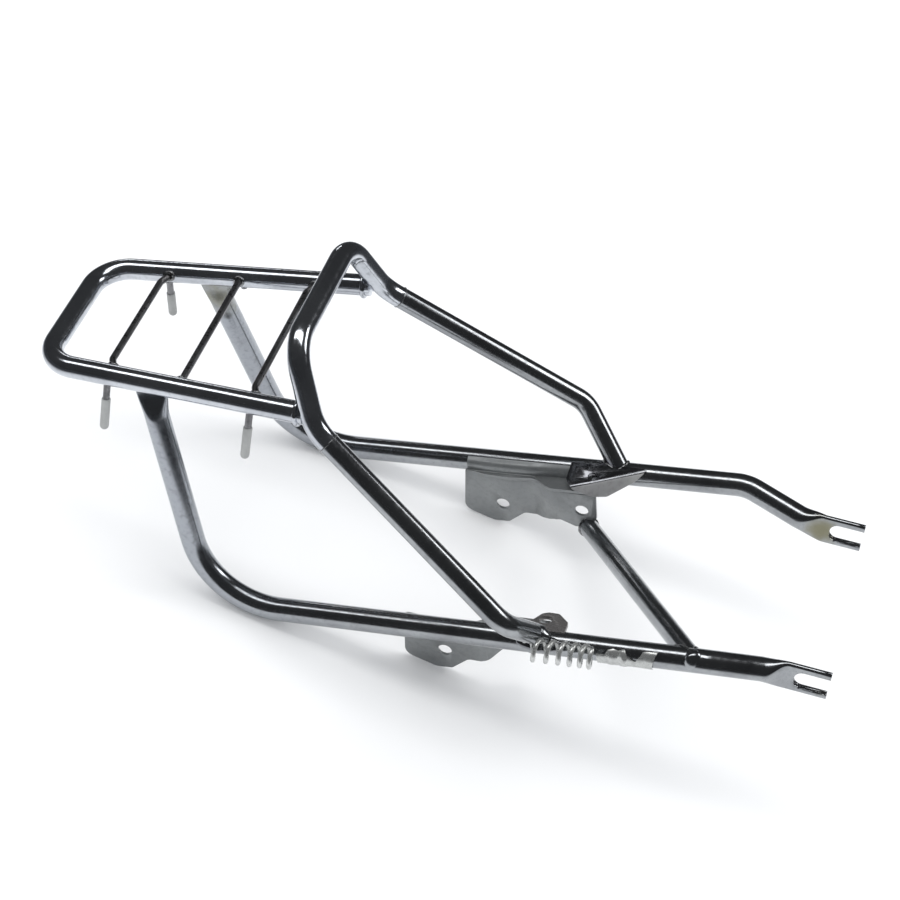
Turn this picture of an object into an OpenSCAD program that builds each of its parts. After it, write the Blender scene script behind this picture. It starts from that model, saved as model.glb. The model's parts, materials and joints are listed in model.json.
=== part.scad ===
// Rear luggage carrier for a small motorcycle: welded steel tube, two bracket plates, slotted front ends.
// It is designed with its lower rails along +X and level, then stood on its rear bends and bracket plates.
// "left" is the +Y side and "right" is the -Y side.

/* [Rails] */
// Outside diameter of the two lower rails and their legs
rail_d = 20; // [18:0.5:22]
// Wall of the rail tube
rail_wall = 2; // [1.5:0.25:2.5]
// Distance from the middle of the carrier to the middle of each rail
rail_y = 102.5; // [96:0.5:110]
// Radius of the bend between a rail and its leg, on the tube's centre line
rail_bend_r = 70; // [55:1:80]
// Length of the straight, level part of the rails, from the leg corner
rail_len = 418; // [400:1:440]

/* [Deck] */
// Outside diameter of the deck loop, the hoop and the stays
tube_d = 18; // [16:0.5:19]
// Wall of the deck loop, the hoop and the stays
tube_wall = 1.5; // [1:0.25:2]
// Deck height above the rails, measured over the leg corner
deck_z = 211.5; // [200:0.5:220]
// Slope of the deck, falling towards the front
deck_slope = 3.3; // [2:0.1:5]
// Half width of the deck loop at its rear corners
deck_rear_y = 63; // [58:1:68]
// Half width of the deck loop where it meets the hoop
deck_front_y = 81.5; // [79:0.5:84]
// Position of the rear bar behind the leg corner
deck_rear_x = 114.5; // [105:0.5:120]
// Radius of the two rear corners of the deck loop
deck_corner_r = 29; // [24:1:34]
// Diameter of the three cross rods
rod_d = 5.5; // [5:0.25:6.5]
// How far the rod ends reach down past their upper bends
peg_drop = 45; // [36:1:50]
// Diameter of the sleeve on each hanging rod end
sleeve_d = 8; // [7.5:0.25:9]
// Length of the sleeve on each hanging rod end
sleeve_len = 30; // [24:1:34]

/* [Hoop and stays] */
// Half width of the hoop at its top corners
hoop_top_y = 65; // [62:1:72]
// Height of the hoop's top bar above the rails
hoop_top_z = 259; // [250:1:266]
// Radius of the hoop's top corners
hoop_corner_r = 32; // [24:1:34]
// Radius of the bend near the foot of each stay
stay_bend_r = 26; // [20:1:30]

/* [Bracket plates] */
// Thickness of the two bracket plates
plate_t = 2.5; // [2:0.25:3]
// Diameter of the bolt holes in the bracket plates
plate_hole_d = 12; // [9:0.5:13]
// Depth of each plate's bottom below the middle of the rail
plate_drop = 59; // [56:1:64]

/* [Lugs and forks] */
// Thickness of the lug on each rail
lug_t = 4; // [3:0.25:5]
// Diameter of the hole in the right lug
lug_right_hole_d = 11; // [9:0.5:12]
// Diameter of the hole in the left lug
lug_left_hole_d = 8; // [6:0.5:9]
// Height of the flattened front end of each rail
fork_h = 30; // [28:0.5:32]
// Thickness of the flattened front end
fork_t = 5.2; // [4.5:0.1:6]
// Width of the slot in the flattened front end
slot_w = 18.5; // [16:0.5:19]
// Depth of the slot from the open end
slot_depth = 28; // [24:1:30]

/* [Spring] */
// Outside diameter of the coil spring
spring_d = 20.5; // [18:0.5:21]
// Diameter of the spring wire
spring_wire = 3.8; // [3:0.1:4.2]

/* [Hidden] */
$fn = 48;
// How far a cutting shape runs past the face that it cuts
cut = 1;

rail_r = rail_d / 2;
tube_r = tube_d / 2;
rod_r = rod_d / 2;
brace_r = 8.5;
brace_wall = 1.5;
inner_run = 3;

// Facets: sides of a tube's outside and bore, and degrees between stations on a bend
outer_sides = 28;
inner_sides = 14;
rod_sides = 14;
bend_step = 7.5;
press_steps = 5;
// Half the gap left between the walls of a tube pressed flat
slit = 0.3;

// Height of the deck's centre plane at a given x
function deck_at(x) = deck_z - x * tan(deck_slope);
// A point mirrored to the right side
function flip(p) = [p[0], -p[1], p[2]];
function unit(v) = v / norm(v);
function turn(a, b, c) = acos(unit(b - a) * unit(c - b));
function tangent_len(a, b, c, r) = r * tan(turn(a, b, c) / 2);
function bisect_centre(a, b, c, r) =
    b + unit(unit(c - b) - unit(b - a)) * r / cos(turn(a, b, c) / 2);

// Points of a closed outline with its corners rounded; each corner is [x, y, radius]
arc_steps = 6;
function corner_arc(a, b, c, r) =
    r == 0 ? [b] :
    let (u = unit(b - a), v = unit(c - b), t = acos(u * v), s = b - u * r * tan(t / 2),
        side = (u[0] * v[1] - u[1] * v[0]) > 0 ? 1 : -1,
        n = [-u[1], u[0]] * side)
    [for (i = [0:arc_steps]) s + n * r + r * (-n * cos(t * i / arc_steps) + u * sin(t * i / arc_steps))];
function flat(p) = [p[0], p[1]];
function rounded(pts) =
    let (n = len(pts))
    [for (i = [0:n - 1])
        each corner_arc(flat(pts[(i + n - 1) % n]), flat(pts[i]), flat(pts[(i + 1) % n]), pts[i][2])];

// Left side centre-line points of the rail: leg top, leg corner, start and end of the S bend, fork
leg_top = [-17, 74.5, 180];
leg_corner = [0, rail_y, 0];
s_start = [rail_len, rail_y, 0];
s_drop = [57.5, -18, -20.5];
s_bend_r = 40;
s_round = 52;
s_end = s_start + unit(s_drop) * s_round;
fork_down = 12;
fork_dir = [cos(fork_down), 0, -sin(fork_down)];
fork_flat = 34;
fork_lap = 1;
fork_root = s_start + s_drop;
fork_press_len = 10;
fork_sag = 1.2;
fork_mid = fork_root + fork_dir * fork_press_len - [0, 0, fork_sag];
fork_tip = fork_mid + fork_dir * fork_flat;
rail_path = [leg_top, leg_corner, s_start, s_end];
rail_radii = [0, rail_bend_r, s_bend_r, 0];
leg_dir = unit(leg_top - leg_corner);
leg_blade_len = 26;
leg_blade_w = 28;
leg_blade_t = 4.5;
leg_blade_shift = 1.5;

// Deck loop and hoop
deck_front_x = 118;
hoop_foot = [126.5, 88.5, 197];
hoop_top = [113.5, hoop_top_y, hoop_top_z];
hoop_lean_r = 45;
stay_bend = [273.5, 134.3, 49.5];
stay_dir = unit(stay_bend - hoop_foot);
seam_below_foot = 16;
seam = hoop_foot + stay_dir * seam_below_foot;
stay_toe = [290, 107, 16.5];
stay_toe_r = 14;
stay_foot = [309, 104.8, 11.8];
stay_foot_dir = unit(stay_foot - stay_toe);
stay_round_len = 7.5;
stay_round_end = stay_toe + stay_foot_dir * stay_round_len;
// Half width and half thickness of the pressed foot, and of its closed tip
stay_foot_half = [10, 5];
stay_tip_half = [8, 3.5];
stay_tip_len = 3;
// The left stay has no foot: it runs straight into the rail's axis here
stay_left_end = [308.5, rail_y, 0];
// The right stay's foot is pressed flat along this direction
stay_press_tilt = 30;
stay_press_dir = [0, cos(stay_press_tilt), -sin(stay_press_tilt)];

// Cross rods, in order from the rear
rod_x = [-57.5, 8, 69];

// Lugs: hinge line on top of the rail, falling inwards
lug_tilt = 14;
lug_hinge = [0, rail_y - 4, rail_r + 0.5];
lug_right_hole = [290, 14.5];
lug_left_hole = [286.5, 12];
// The left lug is folded down along this line, by this angle
lug_fold_rear = [266, 27];
lug_fold_front = [334, 2];
lug_fold = 40;

// Brackets
plate_hole_main = [199.5, -38];
plate_hole_tongue = [276.5, -24];
tongue_in = 13;
plate_out = rail_y - rail_r - 1.5;
// Side view outline of a bracket: x along the rail, y up
bracket_outline = [
    [169.5, -1, 1], [163, -47, 10], [189, -plate_drop, 6], [203, -plate_drop, 4],
    [219, -46, 7], [236, -47, 9], [250, -38, 6], [256, -37, 4], [270, -44, 4], [289, -34, 5],
    [291, -4, 1], [250, -4, 1], [242, -1, 4]];

// Cross brace from the left tongue to the right rail
brace_top = [280, plate_out - tongue_in - plate_t / 2, -43];
brace_foot = [416.5, -rail_y - 3.5, 3];

// Spring beside the right rail
spring_x0 = 281;
spring_len = 60;
spring_out = 18.4;
spring_up = 9.6;

// Stance: the pitch at which the bracket plates and the rear bends touch one level floor
bend_centre = bisect_centre(leg_top, leg_corner, s_start, rail_bend_r);
bend_axis = unit(cross(leg_top - leg_corner, [1, 0, 0]));
function up(p) = [sin(p), 0, cos(p)];
function bend_low(p) = bend_centre * up(p) - rail_bend_r * sqrt(1 - pow(bend_axis * up(p), 2)) - rail_r;
function lobe_low(p) = min([for (q = rounded(bracket_outline)) q[0] * sin(p) + q[1] * cos(p)]);
function stance(lo, hi, n) =
    let (mid = (lo + hi) / 2)
    n == 0 ? mid : (lobe_low(mid) < bend_low(mid) ? stance(mid, hi, n - 1) : stance(lo, mid, n - 1));
pitch = stance(0, 40, 30);
floor_z = lobe_low(pitch);
function along_x(p) = p[0] * cos(pitch) - p[2] * sin(pitch);
fork_up = [sin(fork_down), 0, cos(fork_down)];
front_x = max(along_x(fork_tip + fork_up * fork_h / 2), along_x(fork_tip - fork_up * fork_h / 2));
rear_x = along_x([-deck_rear_x, 0, deck_at(-deck_rear_x)]) - tube_r;
mid_x = (front_x + rear_x) / 2;

// Stands the finished shape on the floor, with its box centred on the origin
module placed() {
    translate([-mid_x, 0, -floor_z])
        rotate([0, -pitch, 0])
            children();
}

// The left-side shape, or its mirror image for the right side
module on_side(side) {
    if (side > 0)
        children();
    else
        mirror([0, 1, 0])
            children();
}

// Puts the children's +Z along b - a, starting at a
module aim(a, b) {
    d = unit(b - a);
    translate(a)
        rotate([0, acos(d[2]), atan2(d[1], d[0])])
            children();
}

module bar(a, b, r) {
    aim(a, b)
        cylinder(h = norm(b - a), r = r);
}

// Stations of a rounded path. Each is [centre, direction, half width, half thickness].
function bend_stations(a, b, c, r, size) =
    let (u = unit(b - a), v = unit(c - b), t = acos(u * v), side = unit(v - u * (u * v)),
        o = b - u * r * tan(t / 2) + side * r, n = ceil(t / bend_step))
    [for (k = [0:n])
        let (q = t * k / n)
        [o - side * r * cos(q) + u * r * sin(q), u * cos(q) + side * sin(q), size, size]];

function stations(path, radii, size) =
    let (n = len(path) - 1)
    [[path[0], unit(path[1] - path[0]), size, size],
        for (i = [1:n - 1])
            each bend_stations(path[i - 1], path[i], path[i + 1], radii[i], size),
        [path[n], unit(path[n] - path[n - 1]), size, size]];

// Eases from 0 to 1
function ease(t) = t * t * (3 - 2 * t);

// Stations of a tube end that is pressed flat between a round start and a flat finish
function pressed(from, from_dir, to, to_dir, size, wide, thin) =
    [for (k = [1:press_steps])
        let (t = k / press_steps, e = ease(t))
        [from + (to - from) * t, unit(from_dir + (to_dir - from_dir) * e),
            size + (wide - size) * e, size + (thin - size) * e]];

function reversed(list) = [for (i = [len(list) - 1:-1:0]) list[i]];

// Stations of a sweep in the opposite order
function backwards(list) = [for (i = [len(list) - 1:-1:0]) [list[i][0], -list[i][1], list[i][2], list[i][3]]];

// The same stations, thinner all round, for a bore. far runs the two ends on.
function thinner(list, wall, far_start, far_end) =
    let (n = len(list) - 1)
    [for (i = [0:n])
        let (c = list[i][0], d = list[i][1],
            shift = i == 0 ? -far_start : i == n ? far_end : 0)
        [c + d * shift, d, max(list[i][2] - wall, slit), max(list[i][3] - wall, slit)]];

// One closed ring of points; ref lies along the thin direction of a pressed section
function ring(st, ref, sides) =
    let (d = st[1], v = unit(ref - d * (d * ref)), u = cross(v, d),
        wide = st[2] - st[3])
    [for (k = [0:sides - 1])
        let (q = 360 * (k + 0.5) / sides)
        st[0] + u * (st[3] * cos(q) + wide * max(-1, min(1, 3 * cos(q)))) + v * st[3] * sin(q)];

module sweep(list, ref, sides) {
    n = len(list) - 1;
    points = [for (st = list) each ring(st, ref, sides)];
    skin = [for (i = [0:n - 1], k = [0:sides - 1])
        [i * sides + k, (i + 1) * sides + k,
            (i + 1) * sides + (k + 1) % sides, i * sides + (k + 1) % sides]];
    start = [for (k = [0:sides - 1]) k];
    finish = [for (k = [sides - 1:-1:0]) n * sides + k];
    polyhedron(points = points, faces = concat([start], skin, [finish]));
}

module tube(list, ref, wall, far_start, far_end) {
    difference() {
        sweep(list, ref, outer_sides);
        sweep(thinner(list, wall, far_start, far_end), ref, inner_sides);
    }
}

// ---- rails ----

// The top of each leg is pressed to a blade under the deck tube, and the front end is pressed to a fork
rail_mid = stations(rail_path, rail_radii, rail_r);
leg_blade = leg_top + leg_dir * leg_blade_len;
leg_press = backwards(pressed(leg_top, leg_dir, leg_blade + [leg_blade_shift, 0, 0], leg_dir,
    rail_r, leg_blade_w / 2, leg_blade_t / 2));
fork_press = pressed(s_end, unit(s_drop), fork_mid, fork_dir, rail_r, fork_h / 2, fork_t / 2);
rail_stations = concat(leg_press, rail_mid, fork_press);
// Solid metal left at the leg's top and at the fork
leg_solid = 2;
fork_solid = 4;

// Flat fork plate with an open slot, in its own plane: x forward, y up
module fork_outline() {
    corner = 2.5;
    slot_corner = 7;
    half = fork_h / 2;
    gap = slot_w / 2;
    closed = fork_flat - slot_depth;
    polygon(rounded([
        [-fork_lap, half, 0], [fork_flat, half, corner], [fork_flat, gap, 1],
        [closed, gap, slot_corner], [closed, -gap, slot_corner],
        [fork_flat, -gap, 1], [fork_flat, -half, corner], [-fork_lap, -half, 0]]));
}

module fork_plate() {
    translate(fork_mid)
        rotate([90, fork_down, 0])
            translate([0, 0, -fork_t / 2])
                linear_extrude(fork_t)
                    fork_outline();
}

module rail_shape() {
    difference() {
        tube(rail_stations, [0, 1, 0], rail_wall, -leg_solid, -fork_solid);
        deck_side_solid();
    }
    fork_plate();
}

module rail_right() {
    color([0.33, 0.34, 0.36])
        placed()
            on_side(-1)
                rail_shape();
}

module rail_left() {
    color([0.33, 0.34, 0.36])
        placed()
            on_side(1)
                rail_shape();
}

// ---- deck ----

deck_front = [deck_front_x, deck_front_y, deck_at(deck_front_x)];
deck_corner = [-deck_rear_x, deck_rear_y, deck_at(-deck_rear_x)];
deck_path = [deck_front, deck_corner, flip(deck_corner), flip(deck_front)];

// Half width of the deck loop at a given x
function deck_y(x) = deck_rear_y + (deck_front_y - deck_rear_y) * (x + deck_rear_x) / (deck_front_x + deck_rear_x);

module deck_side_solid() {
    bar(deck_front, deck_corner, tube_r);
}

module deck_loop() {
    color([0.62, 0.64, 0.68])
        placed()
            difference() {
                tube(stations(deck_path, [0, deck_corner_r, deck_corner_r, 0], tube_r), [0, 0, 1],
                    tube_wall, inner_run, inner_run);
                hoop_solid();
                for (i = [0:2])
                    rod_solid(i);
            }
}

// A cross rod lies across the deck; its ends turn down through the side tubes
rod_inset = 1.5;
rod_rise = 1.5;
rod_shoulder = 7;
rod_knee = 6;
rod_drop_lean = 11;
rod_drop_out = 9;
rod_short_drop = 4;
rod_shoulder_r = 3;
rod_knee_r = 3;
// The rear and front rods step forward just before they reach the tube
rod_jog = 4;
rod_jog_in = 15;
rod_jog_r = 6;
function rod_end(i) = [rod_x[i], deck_y(rod_x[i]) - rod_inset, deck_at(rod_x[i])];
function rod_down(i) = i == 1 ? [0, 0, -rod_short_drop] : [-rod_drop_lean, rod_drop_out, -peg_drop];
function rod_low(i) = rod_end(i) - [0, 0, rod_knee];
function rod_high(i) = rod_end(i) + [i == 1 ? 0 : rod_jog, -rod_shoulder, rod_rise];
function rod_start(i) = rod_end(i) + [0, -rod_jog_in, rod_rise];
function rod_tip(i) = rod_low(i) + rod_down(i);
function rod_half(i) = concat([rod_tip(i), rod_low(i), rod_high(i)], i == 1 ? [] : [rod_start(i)]);
function rod_path(i) = concat([for (p = rod_half(i)) flip(p)], reversed(rod_half(i)));
function rod_half_radii(i) = concat([0, rod_knee_r, rod_shoulder_r], i == 1 ? [] : [rod_jog_r]);
function rod_radii(i) = concat(rod_half_radii(i), reversed(rod_half_radii(i)));

module rod_solid(i) {
    sweep(stations(rod_path(i), rod_radii(i), rod_r), [1, 0, 0], rod_sides);
}

module cross_rod(i) {
    color([0.3, 0.3, 0.32])
        placed()
            rod_solid(i);
}

module cross_rod_rear() {
    cross_rod(0);
}

module cross_rod_middle() {
    cross_rod(1);
}

module cross_rod_front() {
    cross_rod(2);
}

// Half section of a sleeve, open at y = 0 and closed with a round end; bore is its inside radius
sleeve_end = 2;
function sleeve_profile(r, bore) =
    concat([[bore, 0], [r, 0]],
        [for (q = [0:15:90]) [r * cos(q), sleeve_len - r + r * sin(q)]],
        [[0, sleeve_len - sleeve_end], [bore, sleeve_len - sleeve_end]]);

// Sleeve pushed over a hanging rod end
module peg_sleeve(i, side) {
    dir = unit(rod_down(i));
    start = rod_tip(i) - dir * (sleeve_len - sleeve_end);
    color([0.68, 0.69, 0.68])
        placed()
            on_side(side)
                aim(start, start + dir)
                    rotate_extrude()
                        polygon(sleeve_profile(sleeve_d / 2, rod_r));
}

module peg_sleeve_rear_right() {
    peg_sleeve(0, -1);
}

module peg_sleeve_rear_left() {
    peg_sleeve(0, 1);
}

module peg_sleeve_front_right() {
    peg_sleeve(2, -1);
}

module peg_sleeve_front_left() {
    peg_sleeve(2, 1);
}

// ---- hoop and stays ----

hoop_path = [seam, hoop_foot, hoop_top, flip(hoop_top), flip(hoop_foot), flip(seam)];
hoop_radii = [0, hoop_lean_r, hoop_corner_r, hoop_corner_r, hoop_lean_r, 0];
hoop_stations = stations(hoop_path, hoop_radii, tube_r);

module hoop_solid() {
    sweep(hoop_stations, [1, 0, 0], outer_sides);
}

module front_hoop() {
    color([0.62, 0.64, 0.68])
        placed()
            tube(hoop_stations, [1, 0, 0], tube_wall, inner_run, inner_run);
}

// Right stay, drawn on the left side and mirrored
stay_right_path = [seam, stay_bend, stay_toe, stay_round_end];
stay_round = stations(stay_right_path, [0, stay_bend_r, stay_toe_r, 0], tube_r);
// Foot of a stay, pressed oval where it lies against the rail and closed at its end
stay_press = pressed(stay_round_end, stay_foot_dir, stay_foot, stay_foot_dir,
    tube_r, stay_foot_half[0], stay_foot_half[1]);
stay_tip = [[stay_foot + stay_foot_dir * stay_tip_len, stay_foot_dir, stay_tip_half[0], stay_tip_half[1]]];
stay_right_stations = concat(stay_round, stay_press, stay_tip);
stay_left_stations = stations([seam, stay_bend, stay_left_end], [0, stay_bend_r, 0], tube_r);
stay_solid = 4;

module stay_right() {
    color([0.4, 0.41, 0.43])
        placed()
            on_side(-1)
                difference() {
                    tube(stay_right_stations, stay_press_dir, tube_wall, inner_run, -stay_solid);
                    bar(leg_corner, s_start, rail_r);
                    lug_flat(lug_right_outline, lug_right_hole, lug_right_hole_d);
                }
}

module stay_left() {
    color([0.4, 0.41, 0.43])
        placed()
            difference() {
                tube(stay_left_stations, stay_press_dir, tube_wall, inner_run, inner_run);
                bar(leg_corner, s_start, rail_r);
            }
}

// Lug outlines: x along the rail, y inwards from the hinge line
lug_right_outline = [
    [267, -1, 1], [267, 9, 2], [279, 11, 4], [285, 23, 4], [290, 25.5, 3],
    [299, 25, 4], [309, 14, 3], [310, -1, 1]];
lug_left_outline = [
    [265, -1, 1], [264, 17, 6], [270.9, 26.6, 8], [289.1, 28, 12], [300.9, 25.5, 6], [323.5, 10.7, 20],
    [334, -1, 2]];

// Puts the children on top of the rail, with y running inwards down the lug's slope
module on_lug() {
    translate(lug_hinge)
        rotate([lug_tilt, 0, 0])
            mirror([0, 1, 0])
                children();
}

module lug_hole(hole, d) {
    translate([hole[0], hole[1], -lug_t - cut])
        cylinder(h = lug_t + 2 * cut, d = d);
}

module lug_flat(outline, hole, d) {
    on_lug()
        difference() {
            translate([0, 0, -lug_t])
                linear_extrude(lug_t)
                    polygon(rounded(outline));
            lug_hole(hole, d);
        }
}

// Section across the left lug's fold: x inwards from the fold line, y up from the hinge plane
lug_fold_rear_run = 60;
lug_fold_drop = 40;
module lug_fold_section() {
    polygon([
        [-lug_fold_rear_run, 0], [0, 0],
        lug_fold_drop * [cos(lug_fold), -sin(lug_fold)],
        lug_fold_drop * [cos(lug_fold), -sin(lug_fold)] - lug_t * [sin(lug_fold), cos(lug_fold)],
        [-lug_t * tan(lug_fold / 2), -lug_t], [-lug_fold_rear_run, -lug_t]]);
}

module lug_folded() {
    run = lug_fold_front - lug_fold_rear;
    on_lug()
        difference() {
            intersection() {
                translate([lug_fold_rear[0], lug_fold_rear[1], 0])
                    rotate([0, 0, atan2(run[1], run[0])])
                        translate([-lug_fold_drop, 0, 0])
                            rotate([90, 0, 90])
                                linear_extrude(norm(run) + 2 * lug_fold_drop)
                                    lug_fold_section();
                translate([0, 0, -lug_fold_drop])
                    linear_extrude(lug_fold_drop + cut)
                        polygon(rounded(lug_left_outline));
            }
            lug_hole(lug_left_hole, lug_left_hole_d);
        }
}

module stay_lug_right() {
    color([0.4, 0.38, 0.37])
        placed()
            on_side(-1)
                difference() {
                    lug_flat(lug_right_outline, lug_right_hole, lug_right_hole_d);
                    bar(leg_corner, s_start, rail_r);
                }
}

module stay_lug_left() {
    color([0.4, 0.4, 0.42])
        placed()
            difference() {
                lug_folded();
                bar(leg_corner, s_start, rail_r);
            }
}

// ---- bracket plates ----

// Plan view section of the plate, which steps inwards to its tongue: x along the rail, y from its outer face
bracket_rear_x = 160;
bracket_front_x = 300;
joggle_start_x = 230;
joggle_end_x = 252;
bracket_height = 100;
bracket_reach = 60;
module bracket_plan() {
    polygon([
        [bracket_rear_x, 0], [joggle_start_x, 0], [joggle_end_x, -tongue_in], [bracket_front_x, -tongue_in],
        [bracket_front_x, -tongue_in - plate_t], [joggle_end_x - 1, -tongue_in - plate_t],
        [joggle_start_x - 1, -plate_t], [bracket_rear_x, -plate_t]]);
}

// The plate's upper edge is rolled round the inner side of the rail, and welded there
saddle_x0 = 172;
saddle_x1 = 246;
saddle_top_left = 55;
saddle_top_right = 35;
saddle_low = -25;
module bracket_saddle(top) {
    translate([saddle_x0, rail_y, 0])
        rotate([0, 90, 0])
            difference() {
                cylinder(h = saddle_x1 - saddle_x0, r = rail_r + plate_t);
                translate([0, 0, -cut])
                    linear_extrude(saddle_x1 - saddle_x0 + 2 * cut)
                        polygon(concat([[0, 0]],
                            [for (q = [top:10:360 + saddle_low]) 30 * [-sin(q), -cos(q)]],
                            [30 * [-sin(saddle_low), -cos(saddle_low)]]));
            }
}

module bracket_shape(top) {
    difference() {
        union() {
            intersection() {
                translate([0, plate_out, rail_r - bracket_height])
                    linear_extrude(bracket_height)
                        bracket_plan();
                translate([0, rail_y, 0])
                    rotate([90, 0, 0])
                        linear_extrude(bracket_reach)
                            polygon(rounded(bracket_outline));
            }
            bracket_saddle(top);
        }
        bar(leg_corner, s_start, rail_r);
        for (h = [plate_hole_main, plate_hole_tongue])
            translate([h[0], rail_y, h[1]])
                rotate([90, 0, 0])
                    cylinder(h = bracket_reach, d = plate_hole_d);
        lug_folded();
    }
}

module bracket_right() {
    color([0.47, 0.49, 0.49])
        placed()
            on_side(-1)
                bracket_shape(saddle_top_right);
}

module bracket_left() {
    color([0.47, 0.49, 0.49])
        placed()
            on_side(1)
                bracket_shape(saddle_top_left);
}

// ---- cross brace ----

module cross_brace() {
    d = unit(brace_foot - brace_top);
    color([0.4, 0.42, 0.43])
        placed()
            difference() {
                union() {
                    bar(brace_top, brace_foot, brace_r);
                    translate(brace_foot)
                        sphere(r = brace_r);
                }
                bar(brace_top - d, brace_foot, brace_r - brace_wall);
                bar(flip(leg_corner), flip(s_start) + [rail_d, 0, 0], rail_r);
                bar(flip(s_start), flip(s_end), rail_r);
            }
}

// ---- spring ----

// The turns close up towards the front end
spring_turns = 6;
spring_steps = 26;
spring_sides = 10;
spring_mean_r = (spring_d - spring_wire) / 2;
spring_origin = [spring_x0 + spring_wire / 2, -rail_y - spring_out, spring_up];
spring_bunch = 0.25;
function spring_advance(t) = (t + spring_bunch * (t - t * t)) * (spring_len - spring_wire);
function spring_point(t) =
    let (a = 360 * spring_turns * t)
    spring_origin + [spring_advance(t), spring_mean_r * sin(a), spring_mean_r * cos(a)];

spring_dt = 0.001;
spring_stations = [for (i = [0:spring_turns * spring_steps])
    let (t = i / (spring_turns * spring_steps))
    [spring_point(t), unit(spring_point(t + spring_dt) - spring_point(t - spring_dt)),
        spring_wire / 2, spring_wire / 2]];

module coil_spring() {
    color([0.72, 0.73, 0.72])
        placed()
            sweep(spring_stations, [1, 0, 0], spring_sides);
}

// Sheet clip hugging the outside of the right rail, with a wavy upper edge; x along the rail, y up
clip_t = 1.8;
clip_x0 = 330;
clip_run = 70;
clip_reach = 30;
clip_outline = [
    [339, -8.4, 0.5], [383.5, -8.4, 0.5], [385.3, 5.6, 2], [389, 8.8, 1], [384.5, 10.6, 2],
    [377.5, 10.2, 2], [373.8, 5.6, 3], [371.2, 2.6, 2], [364.6, 5, 2], [361.2, 10, 2],
    [352.5, 10, 2], [348.6, 8.8, 1], [346, 5.4, 1], [339, 5.4, 0.5]];

module spring_clip() {
    color([0.7, 0.71, 0.71])
        placed()
            intersection() {
                translate([clip_x0, -rail_y, 0])
                    rotate([0, 90, 0])
                        difference() {
                            cylinder(h = clip_run, r = rail_r + clip_t);
                            translate([0, 0, -cut])
                                cylinder(h = clip_run + 2 * cut, r = rail_r);
                        }
                translate([0, -rail_y, 0])
                    rotate([90, 0, 0])
                        linear_extrude(clip_reach)
                            polygon(rounded(clip_outline));
            }
}

rail_right();
rail_left();
deck_loop();
front_hoop();
cross_rod_rear();
cross_rod_middle();
cross_rod_front();
peg_sleeve_rear_right();
peg_sleeve_rear_left();
peg_sleeve_front_right();
peg_sleeve_front_left();
stay_right();
stay_left();
stay_lug_right();
stay_lug_left();
bracket_right();
bracket_left();
cross_brace();
coil_spring();
spring_clip();
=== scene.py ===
"""Rear luggage carrier: the pieces, finishes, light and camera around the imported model.

Shapes are worked out in millimetres in the rails' own frame (rails level, +X to the fork ends), the one
that the CAD source uses, and place() turns a point into the row frame in metres.
"""

import json
import math

import bmesh
import bpy
from mathutils import Matrix, Vector, noise


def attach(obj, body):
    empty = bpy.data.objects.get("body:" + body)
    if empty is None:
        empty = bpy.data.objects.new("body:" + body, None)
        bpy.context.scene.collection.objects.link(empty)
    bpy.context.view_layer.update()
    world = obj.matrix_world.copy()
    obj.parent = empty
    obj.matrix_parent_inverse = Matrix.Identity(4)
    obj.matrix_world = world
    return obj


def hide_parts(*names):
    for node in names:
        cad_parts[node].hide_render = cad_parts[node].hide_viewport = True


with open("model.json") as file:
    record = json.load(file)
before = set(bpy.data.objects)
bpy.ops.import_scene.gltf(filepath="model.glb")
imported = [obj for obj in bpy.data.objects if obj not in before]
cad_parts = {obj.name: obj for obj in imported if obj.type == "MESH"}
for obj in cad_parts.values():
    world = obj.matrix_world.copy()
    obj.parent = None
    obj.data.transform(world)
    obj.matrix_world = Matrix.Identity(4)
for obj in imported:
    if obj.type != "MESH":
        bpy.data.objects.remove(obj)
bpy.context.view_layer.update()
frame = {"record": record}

MM = 0.001
BODY = "root"

# ---- driving sizes, mm ----
RAIL_R = 10.0
RAIL_Y = 102.5
RAIL_BEND_R = 70.0
RAIL_STEP_R = 40.0
RAIL_LEN = 418.0
TUBE_R = 9.0

DECK_Z = 211.5
DECK_SLOPE = math.tan(math.radians(3.3))
DECK_REAR_X = -114.5
DECK_REAR_Y = 63.0
DECK_FRONT_X = 118.0
DECK_FRONT_Y = 81.5
DECK_CORNER_R = 29.0
DECK_WELD_BACK = 5.5
HOOP_FOOT_R = 45.0
HOOP_CORNER_R = 32.0
STAY_BEND_R = 26.0
STAY_TOE_R = 10.0

ROD_R = 2.9
ROD_X = (-57.5, 8.0, 69.0)
ROD_NAMES = ("rear", "middle", "front")
ROD_MIDDLE = 1
ROD_INSIDE = 1.5
ROD_RISE = 1.5
ROD_DROP = 6.0
ROD_JOG = 4.0
PEG = Vector((-11, 9, -45))
SLEEVE_R = 3.7
SLEEVE_BACK = 28.0
SLEEVE_PAST = 2.0

# the leg's flattened top, the blade that lies under the deck
BLADE_LEN = 26.0
BLADE_LEAN = Vector((1.5, 0, 0))
BLADE_HALF_W = 14.0
BLADE_HALF_T = 2.25
FORK_H = 30.0
FORK_T = 5.2
FORK_FLAT = 33.6
FORK_DOWN = math.radians(12)
FORK_GAP = 0.5
GROOVE_BACK = 9.0
SLOT_W = 18.5
SLOT_DEPTH = 28.0
SLOT_CORNER_R = 7.0

HOLE_R = 6.0
PLATE_T = 2.5
PLATE_OUT = RAIL_Y - RAIL_R - 1.5
TONGUE_IN = 13.0
LUG_T = 4.0
LUG_TILT = math.radians(14)
BRACE_R = 8.5
BRACE_CAP = 5.5
SPRING_R = 10.25
SPRING_LEN = 60.0
SPRING_TURNS = 6
WIRE_R = 1.9
# how far a cutting shape runs past what it cuts: ahead, through a plate and across a fork
PAST_TIP = 9.0
PAST_FACE = 5.0
CUT_REACH = 20.0

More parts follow.
